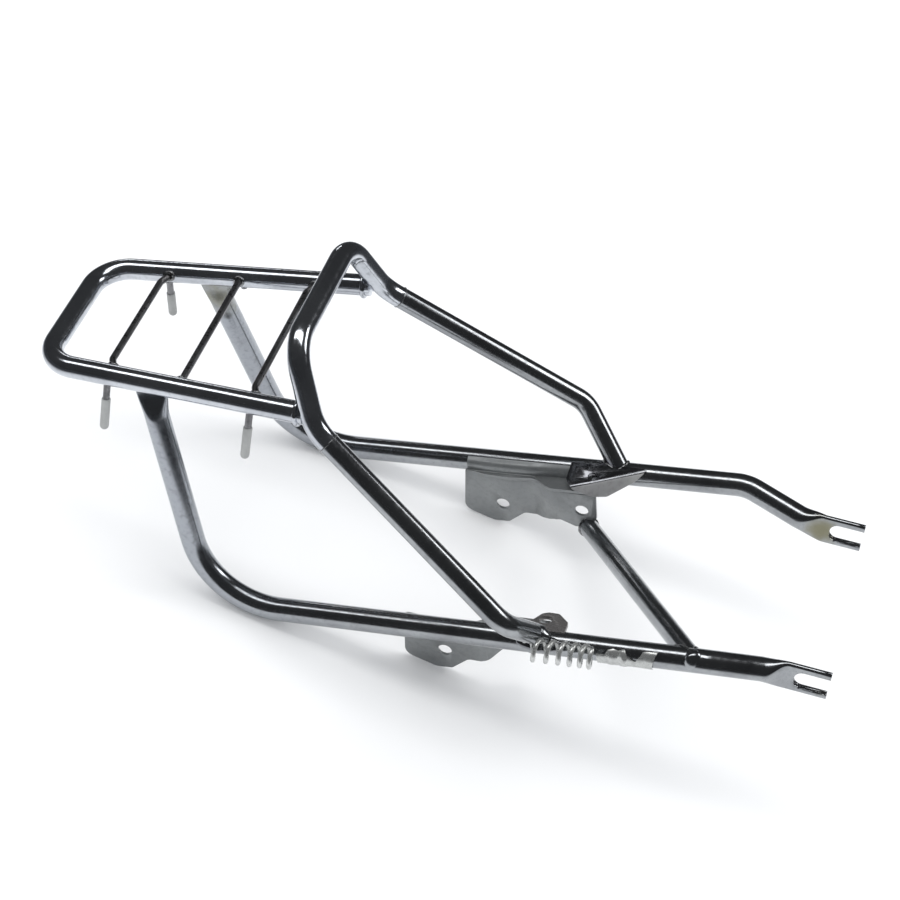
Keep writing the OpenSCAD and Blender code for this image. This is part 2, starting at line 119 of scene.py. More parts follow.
# ---- the rails' frame inside the row frame, from two bolt holes that lie in one bracket ----
HOLE_MAIN = (199.5, -38.0)
HOLE_TONGUE = (276.5, -24.0)
mounts = {m["name"]: Vector(m["pos_m"]) for m in frame["record"]["mounts"]}
main_hole = mounts["frame_bolt_left"]
tongue_hole = mounts["tongue_bolt_left"]
PITCH = math.atan2(tongue_hole.z - main_hole.z, tongue_hole.x - main_hole.x) - math.atan2(
    HOLE_TONGUE[1] - HOLE_MAIN[1], HOLE_TONGUE[0] - HOLE_MAIN[0])
TURN = Matrix.Rotation(-PITCH, 3, "Y")
SHIFT = Vector((main_hole.x, 0, main_hole.z)) - TURN @ (Vector((HOLE_MAIN[0], 0, HOLE_MAIN[1])) * MM)


def place(p):
    """A point of the rails' frame, mm, in the row frame, m."""
    return TURN @ (Vector(p) * MM) + SHIFT


def deck_at(x):
    """Height of the deck's centre plane at x."""
    return DECK_Z - x * DECK_SLOPE


def flip(p):
    """The point's mirror image on the other side."""
    return Vector((p[0], -p[1], p[2]))


# ---- shared path points, +Y side unless it says otherwise ----
LEG_TOP = Vector((-17, 74.5, 180))
CORNER = Vector((0, RAIL_Y, 0))
LEG_DIR = (LEG_TOP - CORNER).normalized()
RAIL_DIR = Vector((1, 0, 0))
# the rail's step inwards and down, and the fork beyond it
STEP_START = Vector((RAIL_LEN, RAIL_Y, 0))
STEP = Vector((57.5, -18, -20.5))
STEP_DIR = STEP.normalized()
STEP_END = STEP_START + STEP_DIR * 52
FORK_DIR = Vector((math.cos(FORK_DOWN), 0, -math.sin(FORK_DOWN)))
FORK_UP = Vector((math.sin(FORK_DOWN), 0, math.cos(FORK_DOWN)))
FORK_MID = STEP_START + STEP + FORK_DIR * 10 + Vector((0, 0, -1.2))
DECK_FRONT = Vector((DECK_FRONT_X, DECK_FRONT_Y, deck_at(DECK_FRONT_X)))
DECK_CORNER = Vector((DECK_REAR_X, DECK_REAR_Y, deck_at(DECK_REAR_X)))
HOOP_FOOT = Vector((126.5, 88.5, 197))
HOOP_TOP = Vector((113.5, 65, 259))
STAY_BEND = Vector((273.5, 134.3, 49.5))
STAY_DIR = (STAY_BEND - HOOP_FOOT).normalized()
SEAM = HOOP_FOOT + STAY_DIR * 16
STAY_LEFT_END = Vector((308.5, RAIL_Y, 0))
STAY_FACE = Vector((0, 0.86, -0.5))
# the right stay's pressed foot and the rounded edge beside it
STAY_TOE = Vector((288, 107.6, 14))
STAY_FOOT_DIR = Vector((21, 0, -9.2)).normalized()
STAY_FOOT_START = STAY_TOE + STAY_FOOT_DIR * 3
STAY_FOOT_END = STAY_TOE + STAY_FOOT_DIR * 12
STAY_FOOT_HALF = (6.8, 4.0)
ROLL_START = 272.0
ROLL_LEN = 40.0
ROLL_HALF = (7.2, 3.6)
ROLL_AT = math.radians(38)
BRACE_TOP = Vector((280, PLATE_OUT - TONGUE_IN - PLATE_T / 2, -43))
BRACE_FOOT = Vector((416.5, -RAIL_Y - 3.5, 3))


# ---- shape helpers ----
def bend_stations(a, b, c, r, size, step=3.0):
    """Stations (centre, direction, half width, half thickness) round one bend."""
    u = (b - a).normalized()
    v = (c - b).normalized()
    t = u.angle(v)
    side = (v - u * u.dot(v)).normalized()
    o = b - u * r * math.tan(t / 2) + side * r
    n = max(2, math.ceil(math.degrees(t) / step))
    out = []
    for k in range(n + 1):
        q = t * k / n
        out.append((o - side * r * math.cos(q) + u * r * math.sin(q),
                    u * math.cos(q) + side * math.sin(q), size, size))
    return out


def fill(list_, gap=12.0):
    """Adds stations along long straight runs, so that shading and bends stay even."""
    out = [list_[0]]
    for st in list_[1:]:
        last = out[-1]
        n = int((st[0] - last[0]).length // gap)
        for k in range(1, n + 1):
            t = k / (n + 1)
            out.append((last[0].lerp(st[0], t), last[1].lerp(st[1], t).normalized(),
                        last[2] + (st[2] - last[2]) * t, last[3] + (st[3] - last[3]) * t))
        out.append(st)
    return out


def stations(path, radii, size):
    """A round tube along path, with one bend radius for each point; the end points' radii aren't used."""
    path = [Vector(p) for p in path]
    out = [(path[0], (path[1] - path[0]).normalized(), size, size)]
    for i in range(1, len(path) - 1):
        out += bend_stations(path[i - 1], path[i], path[i + 1], radii[i], size)
    out.append((path[-1], (path[-1] - path[-2]).normalized(), size, size))
    return out


def ease(t):
    """0 to 1 with a smooth start and end."""
    return t * t * (3 - 2 * t)


def pressed(start, start_dir, end, end_dir, size, wide, thin, steps=12):
    """A tube of radius size pressed to half width wide and half thickness thin on its way."""
    out = []
    for k in range(1, steps + 1):
        t = k / steps
        e = ease(t)
        out.append((start.lerp(end, t), start_dir.lerp(end_dir, e).normalized(),
                    size + (wide - size) * e, size + (thin - size) * e))
    return out


def backwards(list_):
    """The same stations, run from the other end."""
    return [(c, -d, w, h) for c, d, w, h in reversed(list_)]


def mirrored(list_):
    """The same stations on the other side."""
    return [(flip(c), flip(d), w, h) for c, d, w, h in list_]


# how steeply a pressed section turns from its flat to its rounded edge
FLAT_RATE = 3


def ring(st, ref, sides):
    """One ring of a tube; pressed sections are flat along ref."""
    c, d, half_w, half_t = st
    v = (ref - d * d.dot(ref)).normalized()
    u = v.cross(d)
    spread = half_w - half_t
    out = []
    for k in range(sides):
        q = 2 * math.pi * (k + 0.5) / sides
        flat = max(-1.0, min(1.0, FLAT_RATE * math.cos(q)))
        out.append(c + u * (half_t * math.cos(q) + spread * flat) + v * half_t * math.sin(q))
    return out


def shade(mesh, sharp):
    """Smooth shading, but for edges whose faces meet at more than sharp degrees."""
    mesh.shade_smooth()
    mesh.set_sharp_from_angle(angle=math.radians(sharp))


def new_object(name, bm, sharp=40):
    """A linked object with bm as its mesh; bm is used up."""
    mesh = bpy.data.meshes.new(name)
    bmesh.ops.recalc_face_normals(bm, faces=bm.faces)
    bm.to_mesh(mesh)
    bm.free()
    shade(mesh, sharp)
    obj = bpy.data.objects.new(name, mesh)
    bpy.context.scene.collection.objects.link(obj)
    return obj


def add_sweep(bm, list_, ref, sides=48, closed=False):
    """A skin over the stations' rings; ref is the way a pressed section's flat faces."""
    ref = Vector(ref)
    rings = [[bm.verts.new(place(p)) for p in ring(st, ref, sides)] for st in list_]
    pairs = list(zip(rings, rings[1:]))
    if closed:
        pairs.append((rings[-1], rings[0]))
    for a, b in pairs:
        for k in range(sides):
            m = (k + 1) % sides
            bm.faces.new((a[k], a[m], b[m], b[k]))
    if not closed:
        bm.faces.new(rings[0])
        bm.faces.new(rings[-1])


def sweep(name, list_, ref, sides=48, sharp=40):
    """An object made of one swept skin."""
    bm = bmesh.new()
    add_sweep(bm, list_, ref, sides)
    return new_object(name, bm, sharp)


def dome(start, d, r, depth, steps, least):
    """Stations of a rounded end: the radius falls from r to least over depth."""
    out = []
    for k in range(steps + 1):
        q = math.pi / 2 * k / steps
        size = max(least, r * math.cos(q))
        out.append((start + d * depth * math.sin(q), d, size, size))
    return out


def rounded(pts, steps=8):
    """Closed outline with rounded corners; each corner is (x, y, radius)."""
    out = []
    n = len(pts)
    for i in range(n):
        a, b, c = (Vector(pts[(i + k) % n][:2]) for k in (-1, 0, 1))
        r = pts[i][2]
        if r == 0:
            out.append(b)
            continue
        u = (b - a).normalized()
        v = (c - b).normalized()
        t = u.angle(v)
        cross = u.x * v.y - u.y * v.x
        side = Vector((-u.y, u.x)) * (1 if cross > 0 else -1)
        s = b - u * r * math.tan(t / 2)
        for k in range(steps + 1):
            q = t * k / steps
            out.append(s + side * r + r * (-side * math.cos(q) + u * math.sin(q)))
    return out


def prism(name, outline, at, near, far):
    """A closed outline extruded: at(x, y, h) gives the rails' frame point at height h."""
    bm = bmesh.new()
    low = [bm.verts.new(place(at(p[0], p[1], near))) for p in outline]
    high = [bm.verts.new(place(at(p[0], p[1], far))) for p in outline]
    bm.faces.new(low)
    bm.faces.new(list(reversed(high)))
    n = len(outline)
    for i in range(n):
        j = (i + 1) % n
        bm.faces.new((low[i], low[j], high[j], high[i]))
    return new_object(name, bm)


def boolean(obj, tool, operation="DIFFERENCE"):
    """obj with tool taken away (or kept), for good; the tool is removed."""
    mod = obj.modifiers.new("cut", "BOOLEAN")
    mod.operation = operation
    mod.solver = "EXACT"
    mod.object = tool
    bake(obj)
    bpy.data.objects.remove(tool)


def bake(obj):
    """Applies obj's modifiers."""
    dg = bpy.context.evaluated_depsgraph_get()
    mesh = bpy.data.meshes.new_from_object(obj.evaluated_get(dg))
    obj.modifiers.clear()
    obj.data = mesh


def soften(obj, width, segments=2):
    """Rounds the sharp edges of a plate."""
    mod = obj.modifiers.new("edge", "BEVEL")
    mod.width = width * MM
    mod.segments = segments
    mod.limit_method = "ANGLE"
    mod.angle_limit = math.radians(35)
    mod.harden_normals = True
    bake(obj)
    shade(obj.data, 50)


def turns(steps):
    """The angles of one full turn in equal steps."""
    return [2 * math.pi * k / steps for k in range(steps)]


def circle(x, y, r):
    """A round outline, for holes."""
    return [(x + r * math.cos(q), y + r * math.sin(q)) for q in turns(48)]


def sheet(name, rows, thickness):
    """A grid of rails' frame points made into a sheet, centred on the grid."""
    bm = bmesh.new()
    grid = [[bm.verts.new(place(p)) for p in row] for row in rows]
    for a, b in zip(grid, grid[1:]):
        for k in range(len(a) - 1):
            bm.faces.new((a[k], a[k + 1], b[k + 1], b[k]))
    obj = new_object(name, bm)
    mod = obj.modifiers.new("sheet", "SOLIDIFY")
    mod.thickness = thickness * MM
    mod.offset = 0
    bake(obj)
    shade(obj.data, 60)
    return obj


def loft(name, rings):
    """Closed skin over rings of rails' frame points, capped at both ends."""
    bm = bmesh.new()
    loops = [[bm.verts.new(place(p)) for p in one] for one in rings]
    for a, b in zip(loops, loops[1:]):
        for k in range(len(a)):
            m = (k + 1) % len(a)
            bm.faces.new((a[k], a[m], b[m], b[k]))
    bm.faces.new(loops[0])
    bm.faces.new(loops[-1])
    return new_object(name, bm, sharp=60)


def between(pts, x):
    """Smooth value at x through (x, value) pairs."""
    if x <= pts[0][0]:
        return pts[0][1]
    for (xa, a), (xb, b) in zip(pts, pts[1:]):
        if x <= xb:
            return a + (b - a) * ease((x - xa) / (xb - xa))
    return pts[-1][1]


def across(d):
    """Two unit vectors square to d and to each other."""
    u = d.orthogonal().normalized()
    return u, d.cross(u)


def circle_loop(centre, direction, r, steps=64):
    """Points round a tube's skin, in the plane square to its direction."""
    u, v = across(direction.normalized())
    return [centre + (u * math.cos(q) + v * math.sin(q)) * r for q in turns(steps)]


def meeting_loop(start, direction, r, big_point, big_dir, big_r, steps=64):
    """Where a tube of radius r, running from start, first meets a bigger tube's surface."""
    d = direction.normalized()
    g = big_dir.normalized()
    out = []
    for p in circle_loop(start, d, r, steps):
        w = (p - big_point) - g * (p - big_point).dot(g)
        e = d - g * d.dot(g)
        a, b, c = e.dot(e), w.dot(e), w.dot(w) - big_r * big_r
        out.append(p + d * ((-b - math.sqrt(max(0.0, b * b - a * c))) / a))
    return out


def bead(name, loop, ref, size, uneven=0.3):
    """A weld bead along a closed loop, its thickness uneven from ripple to ripple."""
    n = len(loop)
    list_ = []
    for k, p in enumerate(loop):
        d = (loop[(k + 1) % n] - loop[k - 1]).normalized()
        r = size * (1 + uneven * noise.noise(p * 0.35) + 0.4 * uneven * noise.noise(p * 1.3))
        list_.append((p, d, r, r))
    bm = bmesh.new()
    add_sweep(bm, list_, ref, 12, closed=True)
    return new_object(name, bm)


# ---- materials ----
# the Mix node's colour sockets
MIX_FACTOR, MIX_A, MIX_B, MIX_RESULT = 0, 6, 7, 2


def new_material(name):
    mat = bpy.data.materials.new(name)
    mat.use_nodes = True
    return mat, mat.node_tree, mat.node_tree.nodes["Principled BSDF"]


def object_point(nt):
    return nt.nodes.new("ShaderNodeTexCoord").outputs["Object"]


def value_noise(nt, scale, detail, distortion=0.0):
    """A noise value in object space; scale is in features a metre."""
    tex = nt.nodes.new("ShaderNodeTexNoise")
    tex.inputs["Scale"].default_value = scale
    tex.inputs["Detail"].default_value = detail
    tex.inputs["Distortion"].default_value = distortion
    nt.links.new(object_point(nt), tex.inputs["Vector"])
    return tex.outputs["Fac"]


def ramp(nt, source, stops):
    """A colour ramp through (position, colour or grey level) stops."""
    node = nt.nodes.new("ShaderNodeValToRGB")
    els = node.color_ramp.elements
    for i, (pos, col) in enumerate(stops):
        el = els[i] if i < 2 else els.new(pos)
        el.position = pos
        el.color = (*col, 1) if isinstance(col, tuple) else (col, col, col, 1)
    nt.links.new(source, node.inputs["Fac"])
    return node.outputs["Color"]


def mix(nt, factor, a, b):
    """Colour a where factor is 0, b where it is 1; each is a link or a constant."""
    node = nt.nodes.new("ShaderNodeMix")
    node.data_type = "RGBA"
    for index, src in ((MIX_FACTOR, factor), (MIX_A, a), (MIX_B, b)):
        socket = node.inputs[index]
        if isinstance(src, (int, float)):
            socket.default_value = src
        elif isinstance(src, tuple):
            socket.default_value = (*src, 1)
        else:
            nt.links.new(src, socket)
    return node.outputs[MIX_RESULT]


def times(nt, value, factor):
    """value times factor, which is a link or a constant."""
    node = nt.nodes.new("ShaderNodeMath")
    node.operation = "MULTIPLY"
    nt.links.new(value, node.inputs[0])
    if isinstance(factor, float):
        node.inputs[1].default_value = factor
    else:
        nt.links.new(factor, node.inputs[1])
    return node.outputs["Value"]


def span(nt, value, low, high, kind="SMOOTHSTEP"):
    """0 at low and 1 at high, and no further."""
    node = nt.nodes.new("ShaderNodeMapRange")
    node.interpolation_type = kind
    node.inputs["From Min"].default_value = low
    node.inputs["From Max"].default_value = high
    nt.links.new(value, node.inputs["Value"])
    return node.outputs["Result"]


def bumped(nt, bsdf, layers):
    """Chained bumps: (height, distance in mm, strength)."""
    last = None
    for height, distance, strength in layers:
        node = nt.nodes.new("ShaderNodeBump")
        node.inputs["Distance"].default_value = distance * MM
        node.inputs["Strength"].default_value = strength
        nt.links.new(height, node.inputs["Height"])
        if last:
            nt.links.new(last, node.inputs["Normal"])
        last = node.outputs["Normal"]
    nt.links.new(last, bsdf.inputs["Normal"])


def along_x(nt, start, end):
    """0 at start and 1 at end, in metres along the row frame's X."""
    split = nt.nodes.new("ShaderNodeSeparateXYZ")
    nt.links.new(object_point(nt), split.inputs[0])
    return span(nt, split.outputs["X"], start, end, "LINEAR")


def spot(nt, centre, inner, outer):
    """1 near a point of the rails' frame, fading to 0 between two radii in mm, with a ragged edge."""
    away = nt.nodes.new("ShaderNodeVectorMath")
    away.operation = "DISTANCE"
    away.inputs[1].default_value = place(centre)
    nt.links.new(object_point(nt), away.inputs[0])
    ragged = nt.nodes.new("ShaderNodeMath")
    ragged.operation = "MULTIPLY_ADD"
    ragged.inputs[1].default_value = (outer - inner) * MM
    nt.links.new(value_noise(nt, 90, 3), ragged.inputs[0])
    nt.links.new(away.outputs["Value"], ragged.inputs[2])
    return span(nt, ragged.outputs["Value"], outer * MM, inner * MM)


def metal(name, base, dark, rough_low, rough_high, grime, bump=0.4, speck=0.5, metallic=1.0,
          rear=None, tints=()):
    """Plated steel: uneven tone, hazy patches, pits, fine grinding marks and local discolouring.

    rear is the tone towards the carrier's back end; tints are (point, inner, outer, colour, strength).
    """
    mat, nt, bsdf = new_material(name)
    bsdf.inputs["Metallic"].default_value = metallic
    broad = value_noise(nt, 22, 3, distortion=0.6)
    fine = value_noise(nt, 260, 4)
    pits = value_noise(nt, 900, 2)
    colour = ramp(nt, broad, ((0.35, dark), (0.62, base)))
    if rear:
        colour = mix(nt, along_x(nt, -0.02, -0.2), colour, rear)
    haze = ramp(nt, fine, ((0.5, 0.0), (0.75, speck)))
    colour = mix(nt, haze, colour, grime)
    for centre, inner, outer, tint, strength in tints:
        colour = mix(nt, times(nt, spot(nt, centre, inner, outer), strength), colour, tint)
    spots = ramp(nt, pits, ((0.70, 0.0), (0.78, 0.7)))
    colour = mix(nt, spots, colour, tuple(0.35 * c for c in dark))
    nt.links.new(colour, bsdf.inputs["Base Color"])
    rough = ramp(nt, fine, ((0.35, rough_low), (0.75, rough_high)))
    nt.links.new(rough, bsdf.inputs["Roughness"])
    bumped(nt, bsdf, ((broad, 0.6, bump), (fine, 0.05, bump), (pits, 0.05, bump * 0.8)))
    return mat


def matte(name, base, dark, rough):
    """Unplated, dull surface with a fine grain."""
    mat, nt, bsdf = new_material(name)
    fine = value_noise(nt, 300, 4)
    broad = value_noise(nt, 60, 2)
    colour = ramp(nt, broad, ((0.35, dark), (0.65, base)))
    nt.links.new(colour, bsdf.inputs["Base Color"])
    nt.links.new(ramp(nt, fine, ((0.3, rough - 0.08), (0.7, rough + 0.08))), bsdf.inputs["Roughness"])
    bumped(nt, bsdf, ((fine, 0.1, 0.4),))
    return mat


# tints on the plating: brown where the forks and blades were pressed, soot beside a blade, and the
# purple of heat where the left stay is welded on
OLIVE = (0.20, 0.19, 0.12)
SOOT = (0.03, 0.03, 0.028)
PURPLE = (0.24, 0.21, 0.30)
CHROME = metal(
    "plated tube", (0.38, 0.395, 0.41), (0.30, 0.31, 0.325), 0.15, 0.27, (0.24, 0.25, 0.26), bump=0.3,
    rear=(0.37, 0.39, 0.425), tints=(
        (FORK_MID - FORK_DIR * 2, 12, 30, OLIVE, 0.9),
        (flip(FORK_MID) + FORK_DIR * 30, 8, 22, OLIVE, 0.5),
        (LEG_TOP + LEG_DIR * 12, 14, 38, OLIVE, 0.75),
        (LEG_TOP + Vector((4, -6, -8)), 3, 8, SOOT, 0.85),
        (Vector((300, 98, 6)), 8, 24, PURPLE, 0.5)))
BRIGHT = metal("bright tube", (0.62, 0.645, 0.69), (0.46, 0.48, 0.52), 0.11, 0.22,
               (0.36, 0.38, 0.41), bump=0.45)
ROD = metal("dark rod", (0.26, 0.26, 0.27), (0.17, 0.17, 0.175), 0.25, 0.45, (0.12, 0.12, 0.12))
PLATE = metal("bracket plate", (0.29, 0.302, 0.305), (0.24, 0.25, 0.255), 0.34, 0.48,
              (0.17, 0.175, 0.175), bump=0.25, speck=0.25, metallic=0.7)
LUG = metal("lug plate", (0.20, 0.19, 0.185), (0.15, 0.145, 0.145), 0.24, 0.36,
            (0.12, 0.115, 0.11), bump=0.15, speck=0.2, metallic=0.6)
LUG_DARK = metal("dark lug", (0.26, 0.265, 0.28), (0.18, 0.185, 0.20), 0.12, 0.24,
                 (0.14, 0.14, 0.15), bump=0.4)
# the left lug's folded part: a lighter, less metallic copy of the lug's plating, painted light for the
# light that falls on that face
LUG_PAINTED_LIT = metal("folded lug painted light", (0.42, 0.42, 0.415), (0.28, 0.28, 0.285), 0.3, 0.45,
                  (0.20, 0.195, 0.19), bump=0.5, metallic=0.35)
ZINC = metal("spring wire", (0.62, 0.63, 0.62), (0.46, 0.47, 0.46), 0.22, 0.42,
             (0.34, 0.34, 0.33), metallic=0.8)
WELD = metal("weld bead", (0.34, 0.35, 0.36), (0.20, 0.20, 0.205), 0.2, 0.4,
             (0.15, 0.15, 0.15), bump=0.6)
SLEEVE = matte("sleeve", (0.46, 0.47, 0.46), (0.36, 0.365, 0.36), 0.5)


def finish(obj, mat, slot, *nodes):
    """Gives a piece its material and body, and hides the CAD nodes that it stands in for; slot is not
    used.
    """
    obj.data.materials.clear()
    obj.data.materials.append(mat)
    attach(obj, BODY)
    if nodes:
        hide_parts(*nodes)
    return obj


def weld(name, node, loop, along, size, uneven=0.3):
    """A weld bead round a tube that runs along a direction."""
    return finish(bead(name, loop, along.normalized(), size, uneven), WELD, "plated_tube", node)


# ---- left and right: side is 1 for the left and -1 for the right ----
SIDES = (1, -1)


def side_name(side):
    return "left" if side > 0 else "right"


def sided(list_, side):
    return list_ if side > 0 else mirrored(list_)


def sided_point(p, side):
    return Vector(p) if side > 0 else flip(p)


# ---- pieces ----
def make_rail(side):
    """One tube from the blade under the deck to the slotted fork."""
    blade_end = LEG_TOP + LEG_DIR * BLADE_LEN + BLADE_LEAN
    leg = backwards(pressed(LEG_TOP, LEG_DIR, blade_end, LEG_DIR, RAIL_R, BLADE_HALF_W, BLADE_HALF_T))
    path = [LEG_TOP, CORNER, STEP_START, STEP_END]
    middle = stations(path, [0, RAIL_BEND_R, RAIL_STEP_R, 0], RAIL_R)
    flat = (FORK_H / 2, FORK_T / 2)
    fork = pressed(STEP_END, STEP_DIR, FORK_MID, FORK_DIR, RAIL_R, *flat)
    tip = [(FORK_MID + FORK_DIR * d, FORK_DIR, *flat) for d in (FORK_FLAT / 2, FORK_FLAT)]
    name = "rail_" + side_name(side)
    rail = sweep(name + "_tube", fill(sided(leg + middle + fork + tip, side)), (0, 1, 0))

    def fork_point(x, y, h):
        return sided_point(FORK_MID + FORK_DIR * x + FORK_UP * y + Vector((0, h, 0)), side)

    closed, past, half = FORK_FLAT - SLOT_DEPTH, FORK_FLAT + PAST_TIP, SLOT_W / 2
    slot = rounded(((closed, -half, SLOT_CORNER_R), (past, -half, 0),
                    (past, half, 0), (closed, half, SLOT_CORNER_R)))
    boolean(rail, prism("slot", slot, fork_point, -CUT_REACH, CUT_REACH))
    # the dark gap between the tube's two pressed walls
    groove = [(-GROOVE_BACK, -CUT_REACH), (past, -CUT_REACH), (past, CUT_REACH), (-GROOVE_BACK, CUT_REACH)]
    boolean(rail, prism("groove", groove, fork_point, -FORK_GAP / 2, FORK_GAP / 2))
    soften(rail, 0.7)
    return finish(rail, CHROME, "plated_tube", name)


def make_deck():
    """The deck's U-shaped tube, with a weld where each of its ends meets the hoop."""
    path = [DECK_FRONT, DECK_CORNER, flip(DECK_CORNER), flip(DECK_FRONT)]
    list_ = stations(path, [0, DECK_CORNER_R, DECK_CORNER_R, 0], TUBE_R)
    for side in SIDES:
        along = sided_point(DECK_FRONT - DECK_CORNER, side).normalized()
        loop = circle_loop(sided_point(DECK_FRONT, side) - along * DECK_WELD_BACK, along, TUBE_R)
        finish(bead("deck_weld_" + side_name(side), loop, along, 2.2, 0.2), BRIGHT, "bright_tube",
               "deck_loop")
    tube = sweep("deck_loop_tube", fill(list_), (0, 0, 1))
    return finish(tube, BRIGHT, "bright_tube", "deck_loop")


def make_hoop():
    """The arch over the deck's front, down to the seams with the stays."""
    path = [SEAM, HOOP_FOOT, HOOP_TOP, flip(HOOP_TOP), flip(HOOP_FOOT), flip(SEAM)]
    radii = [0, HOOP_FOOT_R, HOOP_CORNER_R, HOOP_CORNER_R, HOOP_FOOT_R, 0]
    tube = sweep("front_hoop_tube", fill(stations(path, radii, TUBE_R)), (1, 0, 0))
    return finish(tube, BRIGHT, "bright_tube", "front_hoop")


def foot_roll():
    """The long rounded edge of the right stay's foot, on the rail's upper outer side."""
    out = Vector((0, -math.cos(ROLL_AT), math.sin(ROLL_AT)))
    start = Vector((ROLL_START, -RAIL_Y, 0)) + out * (RAIL_R - 0.6)
    list_ = []
    steps = 40
    for k in range(steps + 1):
        t = k / steps
        swell = math.sin(math.pi * (0.03 + 0.94 * t)) ** 0.55
        list_.append((start + RAIL_DIR * ROLL_LEN * t, RAIL_DIR, *(v * swell for v in ROLL_HALF)))
    roll = sweep("stay_right_roll", list_, out, 40, sharp=75)
    return finish(roll, LUG_DARK, "plated_tube", "stay_right")


def make_stay(side):
    """The hoop's leg carried on to the rail: butted on the left, pressed flat on the right."""
    name = side_name(side)
    if side > 0:
        list_ = stations([SEAM, STAY_BEND, STAY_LEFT_END], [0, STAY_BEND_R, 0], TUBE_R)
    else:
        path = [SEAM, STAY_BEND, STAY_TOE, STAY_FOOT_START]
        list_ = stations(path, [0, STAY_BEND_R, STAY_TOE_R, 0], TUBE_R)
        list_ += pressed(STAY_FOOT_START, STAY_FOOT_DIR, STAY_FOOT_END, STAY_FOOT_DIR, TUBE_R,
                         *STAY_FOOT_HALF)
        foot_roll()
    tube = sweep("stay_%s_tube" % name, fill(sided(list_, side)), sided_point(STAY_FACE, side),
                 sharp=75)
    seam, along = sided_point(SEAM, side), sided_point(STAY_DIR, side)
    weld("seam_" + name, "stay_" + name, circle_loop(seam, along, TUBE_R), along, 0.55, 0.2)
    if side > 0:
        down = STAY_LEFT_END - STAY_BEND
        loop = meeting_loop(STAY_BEND, down, TUBE_R, CORNER, RAIL_DIR, RAIL_R)
        weld("stay_foot_weld", "stay_left", loop, down, 1.5)
    return finish(tube, CHROME, "plated_tube", "stay_" + name)


def deck_y(x):
    """The deck side tube's y at x."""
    share = (x - DECK_REAR_X) / (DECK_FRONT_X - DECK_REAR_X)
    return DECK_REAR_Y + (DECK_FRONT_Y - DECK_REAR_Y) * share


def rod_end(i):
    """The end of rod i's level part, just inside the side tube's centre line."""
    return Vector((ROD_X[i], deck_y(ROD_X[i]) - ROD_INSIDE, deck_at(ROD_X[i])))


def rod_corner(i):
    """Where rod i turns down inside the deck's side tube."""
    return rod_end(i) - Vector((0, 0, ROD_DROP))


def rod_down(i):
    """From a rod's corner to its tip; the middle rod stops inside the tube."""
    return Vector((0, 0, -4)) if i == ROD_MIDDLE else PEG


def rod_tip(i):
    return rod_corner(i) + rod_down(i)


def make_rod(i, name):
    """A bar across the deck; the outer two jog beside the tube and hang through it as pegs."""
    jog = 0 if i == ROD_MIDDLE else ROD_JOG
    inner = rod_end(i) + Vector((0, -15, ROD_RISE))
    half = [rod_tip(i), rod_corner(i), rod_end(i) + Vector((jog, -7, ROD_RISE))]
    radii = [0, 3, 3]
    if jog:
        half.append(inner)
        radii.append(6)
    path = [flip(p) for p in half] + list(reversed(half))
    list_ = stations(path, radii + list(reversed(radii)), ROD_R)
    for side in SIDES:
        corner = sided_point(DECK_CORNER, side)
        tube = (corner, sided_point(DECK_FRONT - DECK_CORNER, side), TUBE_R, 40)
        into = sided_point((jog, 8, 0), side)
        loop = meeting_loop(sided_point(inner, side), into, ROD_R + 0.6, *tube)
        weld("%s_weld_%s" % (name, side_name(side)), name, loop, into, 1.5)
        if jog:
            up = sided_point(-rod_down(i), side)
            loop = meeting_loop(sided_point(rod_tip(i), side), up, ROD_R + 0.4, *tube)
            weld("%s_peg_weld_%s" % (name, side_name(side)), name, loop, up, 1.1)
    return finish(sweep(name + "_bar", fill(list_), (1, 0, 0), 24), ROD, "rod", name)


def make_sleeve(i, side, name):
    """A cap with a chamfered mouth and a round end over a peg's tip."""
    tip = sided_point(rod_tip(i), side)
    d = sided_point(rod_down(i), side).normalized()
    start = tip - d * SLEEVE_BACK
    end = tip + d * SLEEVE_PAST
    list_ = [(start + d * at, d, r, r) for at, r in ((0, 3.1), (0.25, 3.5), (0.7, SLEEVE_R))]
    list_ += dome(end - d * SLEEVE_R, d, SLEEVE_R, SLEEVE_R, 8, 0.15)
    return finish(sweep(name + "_cap", list_, (1, 0, 0), 32), SLEEVE, "sleeve", name)


# ---- bracket: the plate's outline in x and z, and the saddle that holds it round the rail ----
BRACKET_OUTLINE = (
    (169.5, -1, 1), (163, -47, 10), (189, -59, 6), (203, -59, 4), (219, -46, 7), (236, -47, 9),
    (250, -38, 6), (256, -37, 4), (270, -44, 4), (289, -34, 5), (291, -4, 1), (250, -4, 1), (242, -1, 4))
STEP_X = (230, 252)
SADDLE_START = 171
SADDLE_END = {1: 284, -1: 240}
SADDLE_TOP = {1: math.radians(55), -1: math.radians(15)}
SADDLE_LOW = 0.15
SADDLE_CREASE = ((171, -1), (191, -7), (212, -9), (228, -6), (240, -4), (284, -5))
SADDLE_SWELL = ((171, 0.9), (200, 1.8), (225, 1.6), (243, 0.5), (256, 0.0))


def joggle(x):
    """How far the plate has stepped in at x, from 0 on the main part to the tongue."""
    t = max(0.0, min(1.0, (x - STEP_X[0]) / (STEP_X[1] - STEP_X[0])))
    return -TONGUE_IN * (t - 0.06 * math.sin(2 * math.pi * t))


